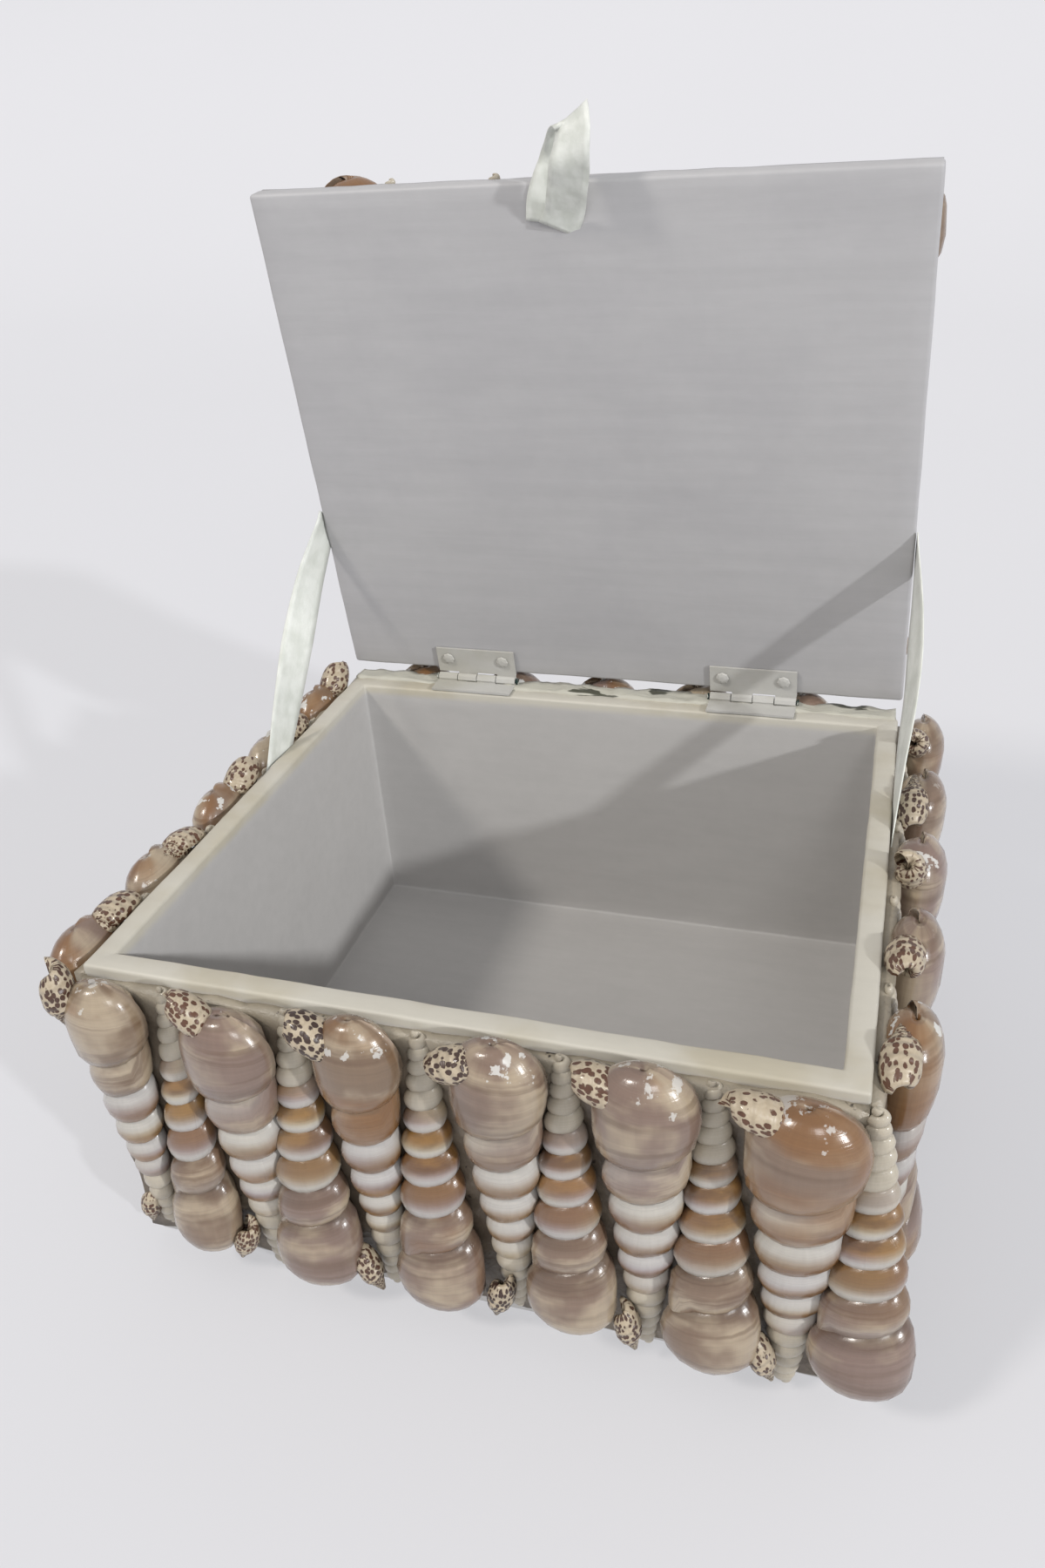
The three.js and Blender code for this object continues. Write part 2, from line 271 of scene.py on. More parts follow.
# %% Floor material
floor_paint, tree, shader = new_material("floor_paint", {
    "Roughness": 0.9, "Emission Color": (0.98, 0.98, 1.0, 1), "Emission Strength": 0.37})
position = object_place(tree)
mottle = noise(tree, position, 1.5, 2)
shade = blended(tree, mottle, "98989C", "9C9CA0")
tree.links.new(shade, shader.inputs["Base Color"])
floor.data.materials.append(floor_paint)

# %% [markdown]
# ## White paint
#
# The board is painted by hand with a cream-white paint. It has fine brush marks that run along each
# board, soft uneven patches, and yellowed, dirtier places. The same effect is needed on the box, the lid
# and the hinges, so it is a shader group: a colour, a roughness and a height go out, and each material
# chooses how strong the brush marks and the stains are and which way they run.


# %% Brushed paint group
paint_group, paint_in, paint_out = new_group(
    "brushed_paint",
    [
        ("Position", "NodeSocketVector", None),
        ("Stretch", "NodeSocketVector", None),
        ("Clean", "NodeSocketColor", (0.6, 0.6, 0.58, 1)),
        ("Stained", "NodeSocketColor", (0.5, 0.48, 0.4, 1)),
        ("Stain", "NodeSocketFloat", 0.5),
        ("Brush", "NodeSocketFloat", 0.5),
    ],
    [("Colour", "NodeSocketColor"), ("Roughness", "NodeSocketFloat"), ("Height", "NodeSocketFloat")],
)
tree = paint_group
along = stretched(tree, paint_in.outputs["Position"], paint_in.outputs["Stretch"])
bristles = noise(tree, along, 1, 5, 0.65)
wide = noise(tree, paint_in.outputs["Position"], 22, 4, 0.6)
fine = noise(tree, paint_in.outputs["Position"], 260, 3)
patch = ramp(tree, wide, 0.42, 0.68)
stain = maths(tree, "MULTIPLY", patch, paint_in.outputs["Stain"])
base = blended(tree, stain, paint_in.outputs["Clean"], paint_in.outputs["Stained"])
streak = maths(tree, "MULTIPLY", maths(tree, "SUBTRACT", bristles, 0.5),
               paint_in.outputs["Brush"])
lighter = maths(tree, "ADD", maths(tree, "MULTIPLY", streak, 0.55), 1.0)
grain = maths(tree, "ADD", maths(tree, "MULTIPLY", fine, 0.05), 0.975)
value = maths(tree, "MULTIPLY", lighter, grain)
colour = blended(tree, 1.0, base, grey(tree, value), "MULTIPLY")
tree.links.new(colour, paint_out.inputs["Colour"])
rough = maths(tree, "ADD", maths(tree, "MULTIPLY", wide, 0.25), 0.4)
tree.links.new(rough, paint_out.inputs["Roughness"])
lump = maths(tree, "MULTIPLY", fine, 0.3)
height = maths(tree, "ADD", maths(tree, "MULTIPLY", bristles, paint_in.outputs["Brush"]), lump)
tree.links.new(height, paint_out.inputs["Height"])


PAINT_RELIEF = 0.3 * MM
RIM_TO_SHADE_FADE = (95.5 * MM, 98.5 * MM)


def painted(name, clean, stained, stretch, stain, brush, shade_below_rim=None):
    """A brushed paint. Below the rim it may have a second, cooler and greyer colour, painted shade for the
    inside of the box.
    """
    material, tree, shader = new_material(name)
    position = object_place(tree)
    if shade_below_rim:
        rim = ramp(tree, height_of(tree, position), *RIM_TO_SHADE_FADE)
        clean = blended(tree, rim, shade_below_rim, clean)
        stained = blended(tree, rim, shade_below_rim, stained)
    paint = add_node(tree, "ShaderNodeGroup", {
        "Position": position, "Stretch": stretch, "Clean": clean, "Stained": stained,
        "Stain": stain, "Brush": brush}, node_tree=paint_group)
    tree.links.new(paint.outputs["Colour"], shader.inputs["Base Color"])
    tree.links.new(paint.outputs["Roughness"], shader.inputs["Roughness"])
    add_bump(tree, shader, paint.outputs["Height"], PAINT_RELIEF, 0.6)
    return material


# Below the rim the box's paint fades to the greyer B0AEAC: painted shade inside the box.
box_paint = painted("box_paint", "BBB7AC", "ABA38F", (40, 220, 220), 0.8, 0.25, shade_below_rim="B0AEAC")
# The lid's copy of the white paint is darker and greyer than the box's: painted shade on the lid.
shaded_lid_paint = painted("shaded_lid_paint", "ABAAAB", "A3A2A4", (18, 240, 240), 0.5, 0.35)
hinge_paint = painted("hinge_paint", "B6B5B1", "A6A398", (90, 300, 300), 0.8, 0.3)

# %% [markdown]
# ## Painted boards
#
# The box body and the lid are flat boards, but hand painting rounds every edge and leaves them slightly
# wavy. A plain cube can't show that. The cube is hollowed by an inset and a downward extrude, its edges
# are bevelled, planes cut it into a fine grid, and a soft cloud pattern then moves the surface by a few
# tenths of a millimetre.


# %% Board tools
def select_faces(piece, wanted):
    """Selects in face mode the faces whose centre and normal pass the test, and leaves edit mode on."""
    only_select(piece)
    bpy.ops.object.mode_set(mode="EDIT")
    bpy.ops.mesh.select_mode(type="FACE")
    bpy.ops.mesh.select_all(action="DESELECT")
    bpy.ops.object.mode_set(mode="OBJECT")
    for face in piece.data.polygons:
        face.select = wanted(face.center, face.normal)
    bpy.ops.object.mode_set(mode="EDIT")


def cut_in_grid(piece, spacing):
    """Cuts a piece by planes a spacing apart along each axis."""
    only_select(piece)
    corners = np.array([v.co for v in piece.data.vertices])
    bpy.ops.object.mode_set(mode="EDIT")
    for axis in range(3):
        low, high = corners[:, axis].min(), corners[:, axis].max()
        count = int((high - low) / spacing)
        for i in range(1, count):
            place = [0, 0, 0]
            place[axis] = low + (high - low) * i / count
            normal = [0, 0, 0]
            normal[axis] = 1
            bpy.ops.mesh.select_all(action="SELECT")
            bpy.ops.mesh.bisect(plane_co=place, plane_no=normal)
    bpy.ops.object.mode_set(mode="OBJECT")


def uneven(piece, strength, size, depth=2):
    """Moves a surface in and out by a soft cloud pattern."""
    only_select(piece)
    clouds = bpy.data.textures.new(piece.name + "_clouds", "CLOUDS")
    clouds.noise_scale = size
    clouds.noise_depth = depth
    push = piece.modifiers.new("uneven", "DISPLACE")
    push.texture = clouds
    push.texture_coords = "LOCAL"
    push.strength = strength
    push.mid_level = 0.5
    bpy.ops.object.modifier_apply(modifier=push.name)


def put_on(piece, name, material, body):
    """Names a finished piece, gives it its finish and its body."""
    piece.name = name
    piece.data.name = name
    piece.data.materials.clear()
    piece.data.materials.append(material)
    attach(piece, body)


def cube_between(low, high):
    """A block between two opposite corners."""
    nothing_selected()
    size = Vector(high) - Vector(low)
    bpy.ops.mesh.primitive_cube_add(size=1, location=(Vector(low) + Vector(high)) / 2, scale=size)
    piece = bpy.context.object
    bpy.ops.object.transform_apply(location=True, rotation=True, scale=True)
    return piece


def soften_edges(piece, width):
    edges = piece.modifiers.new("soft_edges", "BEVEL")
    edges.width = width
    edges.segments = 3
    edges.limit_method = "ANGLE"
    bpy.ops.object.modifier_apply(modifier=edges.name)


def smooth(piece):
    only_select(piece)
    bpy.ops.object.shade_smooth()


# %% Box body
box_low, box_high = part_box("box_body")
WALL = 6.5 * MM
FLOOR_BOARD = 7.5 * MM
BOARD_GRID = 6 * MM
box_piece = cube_between(box_low, box_high)
select_faces(box_piece, lambda centre, normal: normal.z > 0.9)
bpy.ops.mesh.inset(thickness=WALL)
bpy.ops.mesh.extrude_region_move(TRANSFORM_OT_translate={"value": (0, 0, FLOOR_BOARD - box_high.z)})
bpy.ops.object.mode_set(mode="OBJECT")
soften_edges(box_piece, 0.9 * MM)
cut_in_grid(box_piece, BOARD_GRID)
uneven(box_piece, 0.8 * MM, 14 * MM)
smooth(box_piece)
put_on(box_piece, "painted_box", box_paint, "box")
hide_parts("box_body")
print("box faces:", len(box_piece.data.polygons))

# %% Lid board
HINGE_Y, HINGE_Z = 87.5, 101.75
HINGE_AXIS = Vector((0, HINGE_Y, HINGE_Z)) * MM
OPEN_ANGLE = math.radians(82.2)
to_open = Matrix.Translation(HINGE_AXIS) @ Matrix.Rotation(-OPEN_ANGLE, 4, "X")
LID_HALF_WIDTH = 101 * MM
LID_INNER, LID_OUTER = 1.75 * MM, 8.25 * MM
LID_FREE_EDGE, LID_HINGE_EDGE = -172.5 * MM, -2.5 * MM

lid_low, lid_high = (-LID_HALF_WIDTH, LID_FREE_EDGE, LID_INNER), (LID_HALF_WIDTH, LID_HINGE_EDGE, LID_OUTER)
lid_piece = cube_between(lid_low, lid_high)
soften_edges(lid_piece, 1.1 * MM)
cut_in_grid(lid_piece, BOARD_GRID)
uneven(lid_piece, 0.5 * MM, 20 * MM)
smooth(lid_piece)
lid_piece.data.transform(to_open)
put_on(lid_piece, "painted_lid", shaded_lid_paint, "lid")
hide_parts("lid_board")
print("lid faces:", len(lid_piece.data.polygons))

# %% [markdown]
# ## Turret shells
#
# A turret shell is one tube that grows round an axis while it widens, so that each whorl leans on the one
# before it. It could be lathed, but a lathed shell has rings in place of a spiral and has no mouth. Here a
# small closed section near the tip is extruded again and again: each step moves it down the axis, turns
# it and makes it a little larger, as the animal does. At the mouth the section is inset for the lip and
# the same steps run backwards to make the hollow inside.
#
# A plain cone of whorls looks too thin in the middle and too pointed, so the growth also has a blunt tip,
# a slight belly and a last whorl that swells. Its free base is then drawn out and filled to a dome.
#
# Two numbers are kept on every point for the colours: how many turns it is from the mouth, and where it
# lies across the whorl, from the suture on the tip's side to the one on the mouth's side.

# %% Section and growth of a turret shell
TURRET_SECTION = [
    (0.10, 0.52), (0.45, 0.70), (0.66, 0.66), (0.82, 0.52), (0.94, 0.30), (1.00, 0.05), (0.99, -0.16),
    (0.93, -0.38), (0.82, -0.56), (0.67, -0.70), (0.48, -0.79), (0.28, -0.80), (0.10, -0.66), (0.06, -0.32),
]
STEPS_PER_TURN = 20
TURRET_TURNS = 11.4
TURRET_NARROWING = 0.855
TURRET_PITCH = 1.24
TURRET_RADIUS = 13 * MM
TIP_SIZE, TIP_TURNS = 0.30, 0.6
SWELLING_START, SWELLING_TURNS = 1.1, 0.6


def grow_shell(name, section, turns, steps_per_turn, radius, narrowing, pitch, last_pitch=1.0,
               base_stretch=0.25, lip=0.05, swelling=0.0, fullness=0.0, belly=0.0):
    """Grows a shell along -Z from its tip, to a mouth that opens at angle 0, and returns its object."""
    count = int(turns * steps_per_turn)
    turn_at = np.arange(count + 1) / steps_per_turn
    size = radius * narrowing ** (turns - turn_at)
    fall = size.copy()
    size *= TIP_SIZE + (1 - TIP_SIZE) * np.sin(np.clip(turn_at / TIP_TURNS, 0, 1) * math.pi / 2)
    near_mouth = np.clip((turn_at - (turns - SWELLING_START)) / SWELLING_TURNS, 0, 1)
    size *= 1 + swelling * near_mouth ** 2 * (3 - 2 * near_mouth)
    size *= 1 + belly * np.sin(math.pi * turn_at / turns)
    drop = (fall + size) / 2 * pitch / steps_per_turn * (1 - near_mouth * (1 - last_pitch))
    height = -np.cumsum(drop)
    step = 2 * math.pi / steps_per_turn
    nothing_selected()
    bpy.ops.mesh.primitive_circle_add(vertices=len(section), radius=1, fill_type="NGON")
    shell = bpy.context.object
    shell.name = name
    start = count % steps_per_turn * step
    for vertex, (out, up) in zip(shell.data.vertices, section):
        reach = out * size[0]
        vertex.co = (reach * math.cos(start), reach * math.sin(start), height[0] + up * size[0])
    bpy.ops.object.mode_set(mode="EDIT")
    bpy.ops.mesh.select_mode(type="FACE")
    bpy.ops.mesh.select_all(action="SELECT")
    for i in range(1, count + 1):
        grow_step(height[i] - height[i - 1], step, size[i] / size[i - 1], height[i])
    bpy.ops.mesh.inset(thickness=lip * radius)
    for i in range(count, count - steps_per_turn // 2, -1):
        grow_step(height[i - 1] - height[i], -step, size[i - 1] / size[i], height[i - 1])
    bpy.ops.mesh.select_all(action="SELECT")
    bpy.ops.mesh.normals_make_consistent(inside=False)
    bpy.ops.object.mode_set(mode="OBJECT")
    note_growth(shell, len(section), count, steps_per_turn, size, height)
    round_the_base(shell, base_stretch, fullness)
    bpy.ops.object.shade_smooth()
    return shell


def grow_step(drop, angle, widening, height):
    """One step of growth of the selected end. Without a window, a turn is counted the other way."""
    bpy.ops.mesh.extrude_region_move(TRANSFORM_OT_translate={"value": (0, 0, drop)})
    bpy.ops.transform.rotate(value=angle, orient_axis="Z", center_override=(0, 0, height))
    bpy.ops.transform.resize(value=(widening,) * 3, center_override=(0, 0, height))


def note_growth(shell, section_points, count, steps_per_turn, size, height):
    """Keeps on each point its turns from the mouth and its place across the whorl."""
    mesh = shell.data
    points = np.array([v.co for v in mesh.vertices])
    ring = np.minimum(np.arange(len(points)) // section_points, count)
    from_mouth = (count - ring) / steps_per_turn
    across = (points[:, 2] - height[ring]) / size[ring]
    inside = (np.arange(len(points)) // section_points > count).astype(float)
    for label, values in (("turns", from_mouth), ("across", across), ("inside", inside)):
        attribute = mesh.attributes.new(label, "FLOAT", "POINT")
        attribute.data.foreach_set("value", values.astype(np.float32))


def round_the_base(shell, stretch, fullness):
    """Draws the free base of the last whorl out, and fills it to a dome."""
    mesh = shell.data
    points = np.array([v.co for v in mesh.vertices])
    from_mouth, across, inside = (
        np.array([d.value for d in mesh.attributes[label].data]) for label in ("turns", "across", "inside"))
    reach = np.abs(points[:, :2]).max()
    share = np.clip((1.15 - from_mouth) / 0.5, 0, 1) * np.clip(0.25 - across, 0, 1.2)
    points[:, 2] -= stretch * reach * share
    off_axis = np.clip(np.linalg.norm(points[:, :2], axis=1) / reach, 0, 1)
    dome = points[:, 2].min() + reach * (1 - np.sqrt(1 - off_axis ** 2))
    filled = dome - points[:, 2]
    filled = np.where(inside > 0.5, np.maximum(filled, 0), filled)
    share = np.clip((1.12 - from_mouth) / 0.15, 0, 1) * np.clip((0.1 - across) / 0.3, 0, 1)
    points[:, 2] += fullness * share * filled
    mesh.vertices.foreach_set("co", points.astype(np.float32).ravel())
    mesh.update()


def tell_size(label, piece):
    corners = np.array([v.co for v in piece.data.vertices])
    print(label, "in mm:", ((corners.max(0) - corners.min(0)) / MM).round(1), len(piece.data.polygons))


big_turret = grow_shell("turret", TURRET_SECTION, TURRET_TURNS, STEPS_PER_TURN, TURRET_RADIUS,
                        TURRET_NARROWING, TURRET_PITCH, base_stretch=0.30, lip=0.13, swelling=0.07,
                        fullness=0.9, belly=0.15)
tell_size("turret shell", big_turret)

# %% [markdown]
# ## The colours of a turret shell
#
# Each whorl has an orange-brown band under the suture on the tip's side. It fades to cream or pale lilac
# and then to white on the mouth's side, with fine lines along and across. The last whorl is taupe to
# mauve with clouds of amber, and the first whorls are worn to a waxy white. The pattern has to follow the
# spiral, so it reads the numbers kept during growth. Each copy also carries four numbers of its own, so
# that no two look alike: tone, amber, age, and how much white paint was splashed on it from the rim.

# %% Shell colour group
shell_group, shell_in, shell_out = new_group(
    "turret_colours",
    [
        ("Turns", "NodeSocketFloat", 0.0),
        ("Across", "NodeSocketFloat", 0.0),
        ("Tone", "NodeSocketFloat", 0.5),
        ("Amber", "NodeSocketFloat", 0.5),
        ("Age", "NodeSocketFloat", 0.5),
    ],
    [("Colour", "NodeSocketColor"), ("Roughness", "NodeSocketFloat"), ("Height", "NodeSocketFloat")],
)
tree = shell_group
turns, across = shell_in.outputs["Turns"], shell_in.outputs["Across"]
tone, amber, age = (shell_in.outputs[key] for key in ("Tone", "Amber", "Age"))
shell_seed = maths(tree, "MULTIPLY", tone, 37.0)


def spiral_noise(along, over, detail=2.0, roughness=0.5):
    """Noise that is drawn out along the whorl or across it."""
    place = add_node(tree, "ShaderNodeCombineXYZ", {
        "X": maths(tree, "MULTIPLY", turns, along), "Y": maths(tree, "MULTIPLY", across, over),
        "Z": shell_seed}).outputs[0]
    return noise(tree, place, 1.0, detail, roughness)


cloud = spiral_noise(4.0, 1.6, 3.0)
slow = spiral_noise(1.1, 0.4, 1.0)
spiral_lines = spiral_noise(0.5, 26.0, 3.0, 0.7)
growth_lines = spiral_noise(60.0, 1.5, 3.0, 0.6)

down_whorl = maths(tree, "DIVIDE", maths(tree, "SUBTRACT", 0.80, across), 1.46)
aged = maths(tree, "ADD", turns, maths(tree, "MULTIPLY", maths(tree, "SUBTRACT", age, 0.5), 1.2))

cream = blended(tree, ramp(tree, slow, 0.36, 0.60), "A6987A", "92868A")
white = "B2B0AC"
lower = ramp(tree, down_whorl, 0.40, 0.80)
pale = blended(tree, maths(tree, "MULTIPLY", lower, 0.8), cream, white)
band_edge = maths(tree, "ADD", down_whorl, maths(tree, "MULTIPLY", maths(tree, "SUBTRACT", cloud, 0.5), 0.22))
band_width = ramp(tree, aged, 1.8, 4.5, 0.86, 0.68)
band = ramp(tree, band_edge, 0.34, band_width, 1.0, 0.0)
band_colour = blended(tree, ramp(tree, cloud, 0.35, 0.65), "5C3C16", "7F5A26")
brown_band = blended(tree, ramp(tree, aged, 2.0, 3.5), "6E4E2E", band_colour)
spire_strength = maths(tree, "MULTIPLY", ramp(tree, aged, 4.6, 6.2, 1.0, 0.0),
                       maths(tree, "ADD", 0.82, maths(tree, "MULTIPLY", amber, 0.18)))
banded = blended(tree, maths(tree, "MULTIPLY", band, spire_strength), pale, brown_band)
wax = blended(tree, slow, "B6AE9D", "A59C8D")
spire = blended(tree, ramp(tree, aged, 4.6, 6.4), banded, wax)

taupe = blended(tree, tone, "74604A", "7A6760")
light_body = blended(tree, ramp(tree, cloud, 0.42, 0.66), taupe, "A0917C")
dark_band = ramp(tree, band_edge, 0.02, 0.42, 1.0, 0.0)
broad_lines = ramp(tree, spiral_noise(0.9, 5.0, 2.0), 0.50, 0.66)
light_body = blended(tree, maths(tree, "MULTIPLY", broad_lines, 0.55), light_body, "5C4737")
body = blended(tree, maths(tree, "MULTIPLY", dark_band, 0.7), light_body, "54443A")
amber_edge = maths(tree, "SUBTRACT", 0.80, maths(tree, "MULTIPLY", amber, 0.46))
clouded = ramp(tree, spiral_noise(2.2, 0.9, 2.0), amber_edge, maths(tree, "ADD", amber_edge, 0.16))
body = blended(tree, maths(tree, "MULTIPLY", clouded, 0.70), body, "764F26")
suture = ramp(tree, down_whorl, 0.0, 0.07, 1.0, 0.0)
body = blended(tree, maths(tree, "MULTIPLY", suture, 0.5), body, "C2B6A5")
body_share = ramp(tree, aged, 1.0, 2.1, 1.0, 0.0)
whole = blended(tree, body_share, spire, body)

line_value = maths(tree, "ADD", 1.0, maths(tree, "ADD",
    maths(tree, "MULTIPLY", maths(tree, "SUBTRACT", spiral_lines, 0.5), 0.42),
    maths(tree, "MULTIPLY", maths(tree, "SUBTRACT", growth_lines, 0.5), 0.17)))
whole = blended(tree, 1.0, whole, grey(tree, line_value), "MULTIPLY")
tree.links.new(whole, shell_out.inputs["Colour"])
tree.links.new(ramp(tree, aged, 2.0, 7.0, 0.24, 0.42), shell_out.inputs["Roughness"])
fine_relief = maths(tree, "MULTIPLY", growth_lines, 0.5)
relief = maths(tree, "ADD", maths(tree, "MULTIPLY", spiral_lines, 0.6), fine_relief)
tree.links.new(relief, shell_out.inputs["Height"])


# %% Turret shell material
def attribute(tree, label):
    return add_node(tree, "ShaderNodeAttribute", attribute_name=label).outputs["Fac"]


turret_finish, tree, shader = new_material("turret_shell_finish", {
    "Coat Weight": 0.35, "Coat Roughness": 0.12,
    "Subsurface Weight": 0.10, "Subsurface Radius": (1.0, 0.85, 0.75), "Subsurface Scale": 2 * MM})
colours = add_node(tree, "ShaderNodeGroup", {
    label: attribute(tree, label.lower()) for label in ("Turns", "Across", "Tone", "Amber", "Age")
}, node_tree=shell_group)
hollow = blended(tree, attribute(tree, "inside"), colours.outputs["Colour"], "A08E7C")
position = object_place(tree)
height = height_of(tree, position)
flecks = noise(tree, position, 190, 4, 0.6)
near_rim = ramp(tree, height, 92 * MM, 99.5 * MM, -0.35, 0.02)
splash = ramp(tree, maths(tree, "ADD", flecks, near_rim), 0.60, 0.63)
splash = maths(tree, "MULTIPLY", splash, attribute(tree, "splashed"))
coloured = blended(tree, splash, hollow, "C9C8C4")
tree.links.new(coloured, shader.inputs["Base Color"])
gloss = blended(tree, splash, colours.outputs["Roughness"], (0.6, 0.6, 0.6, 1))
tree.links.new(gloss, shader.inputs["Roughness"])
add_bump(tree, shader, colours.outputs["Height"], 0.2 * MM, 0.5)
big_turret.data.materials.append(turret_finish)

# %% [markdown]
# ## Shells round the walls
#
# Every shell lies with its side on the wall and its tip leaning in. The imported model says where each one
# stands. One turret was modelled, and each place gets a copy with its own length, width, turn of the
# mouth and colours. Wide-end-up shells are turned over about the axis that points out of the wall, which
# keeps them coiling the same way.

# %% Place the turret shells
WALL_GAP = 0.3 * MM
SHELL_DEPTH = 0.61
TURRET_WIDTH = 24.6 * MM
TIP_LEAN = 0.24 / 0.86
HALF_COLUMN = 12.4 * MM
WIDE_UP_TOP, TIP_UP_FOOT = 2.6 * MM, 2.0 * MM
SIDE_LONGER, SIDE_RAISED = 4 * MM, 3 * MM
WIDE_UP_LEAN = math.radians(2.2)
rows = {
    "front": {"turn": 0, "count": 12, "wide_up": 0},
    "right": {"turn": 90, "count": 9, "wide_up": 0},
    "back": {"turn": 180, "count": 11, "wide_up": 1},
    "left": {"turn": -90, "count": 9, "wide_up": 0},
}


def own_copy(piece, name):
    copy = piece.copy()
    copy.data = piece.data.copy()
    copy.name = name
    copy.data.name = name
    bpy.context.scene.collection.objects.link(copy)
    return copy


def points_of(piece):
    values = np.empty(len(piece.data.vertices) * 3, np.float32)
    piece.data.vertices.foreach_get("co", values)
    return values.reshape(-1, 3)


def set_number(piece, label, value):
    mesh = piece.data
    kept = mesh.attributes.get(label) or mesh.attributes.new(label, "FLOAT", "POINT")
    kept.data.foreach_set("value", np.full(len(mesh.vertices), value, np.float32))


def along_row(turn, point):
    return point.x * math.cos(turn) + point.y * math.sin(turn)


def wall_distance(row):
    """How far the wall of a row stands from the middle of the box."""
    size = box_high - box_low
    return size.y / 2 if row["turn"] % 180 == 0 else size.x / 2


def laid_turret(model, name, width, length, mouth, look, splashed=0.0):
    """A copy of a shell, its side on the plane y = 0, its base at z = 0, its mouth turned."""
    piece = own_copy(model, name)
    piece.data.transform(Matrix.Rotation(math.radians(mouth), 4, "Z"))
    uneven(piece, 0.9 * MM, shell_choice.uniform(0.007, 0.012), 1)
    size = points_of(piece).max(0) - points_of(piece).min(0)
    piece.data.transform(Matrix.Diagonal((
        width / size[0], SHELL_DEPTH * width / size[1], length / size[2], 1)))
    tilt = math.atan(TIP_LEAN * width / length)
    piece.data.transform(Matrix.Rotation(-tilt, 4, "X"))
    points = points_of(piece)
    middle = (points[:, 0].max() + points[:, 0].min()) / 2
    piece.data.transform(Matrix.Translation((-middle, -points[:, 1].max(), -points[:, 2].min())))
    for label, value in zip(("tone", "amber", "age", "splashed"), (*look, splashed)):
        set_number(piece, label, value)
    return piece


# The shells of the front are plainly their own, so tone, amber and age are given one by one, and width in mm.
front_looks = {
    1: (0.15, 0.30, 0.45), 3: (0.75, 0.15, 0.70), 5: (0.20, 0.95, 0.35), 7: (0.55, 0.10, 0.60),
    9: (0.70, 0.40, 0.55), 11: (0.40, 1.00, 0.55),
    2: (0.30, 0.20, 0.50), 4: (0.80, 0.20, 0.30), 6: (0.60, 0.55, 0.45), 8: (0.50, 0.30, 0.40),
    10: (0.35, 0.35, 0.20), 12: (0.85, 0.30, 0.60),
}
front_widths = {
    1: 22.8, 2: 21.0, 3: 25.6, 4: 25.2, 5: 22.8, 6: 23.8,
    7: 24.2, 8: 23.8, 9: 25.2, 10: 24.6, 11: 27.4, 12: 24.8,
}
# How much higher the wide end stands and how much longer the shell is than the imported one, in mm.
front_rises = {1: 3.5, 3: 1, 5: 5.5, 7: 6, 9: 6.5, 11: 4, 2: 0, 4: 0, 6: 2, 8: 4.5, 10: 1, 12: 5.5}
front_longer = {1: 6, 3: 9.5, 5: 12, 7: 11, 9: 13, 11: 13, 2: 0, 4: 0, 6: -2, 8: -4.5, 10: -1, 12: -5.5}
shell_choice = random.Random(11)
columns = {}
for row_name, row in rows.items():
    turn = math.radians(row["turn"])
    for number in range(1, row["count"] + 1):
        node = f"{row_name}_shell_{number:02d}"
        low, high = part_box(node)
        wide_up = (number - 1) % 2 == row["wide_up"]
        ends = sorted((along_row(turn, low), along_row(turn, high)))
        middle = ends[1] - HALF_COLUMN if wide_up and row_name != "back" else (ends[0] + ends[1]) / 2
        width = TURRET_WIDTH * shell_choice.uniform(0.94, 1.03)
        look = (shell_choice.random(), shell_choice.random(), shell_choice.random())
        mouth = shell_choice.uniform(158, 180) if wide_up else shell_choice.uniform(165, 200)
        if row_name == "left":
            mouth -= 180
        splashed = shell_choice.random() if wide_up else 0.0
        longer, raised = SIDE_LONGER * wide_up, SIDE_RAISED * wide_up
        if row_name == "front":
            look = front_looks[number]
            width = front_widths[number] * MM
            longer, raised = front_longer[number] * MM, front_rises[number] * MM
        piece = laid_turret(big_turret, f"turret_{row_name}_{number:02d}", width, high.z - low.z + longer,
                            mouth, look, splashed)
        if wide_up:
            piece.data.transform(Matrix.Rotation(math.pi, 4, "Y"))
        heights = points_of(piece)[:, 2]
        rise = high.z + WIDE_UP_TOP - heights.max() if wide_up else low.z + TIP_UP_FOOT - heights.min()
        piece.data.transform(Matrix.Translation((0, -wall_distance(row) - WALL_GAP, rise + raised)))
        if wide_up:
            piece.data.transform(Matrix.Rotation(WIDE_UP_LEAN, 4, "Y"))
        piece.data.transform(Matrix.Translation((middle, 0, 0)))
        piece.data.transform(Matrix.Rotation(turn, 4, "Z"))
        put_on(piece, piece.name, turret_finish, "box")
        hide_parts(node)
        columns[row_name, number] = (middle, wide_up)
print("turret shells round the walls:", len(columns))

# %% [markdown]
# ## Shells on the lid
#
# The lid's outer face carries two rows of slimmer turret shells in a bed of glue. Only their ends show
# over the edges from the front, but both rows are seen from behind. They are placed on the closed lid
# and then opened with it.

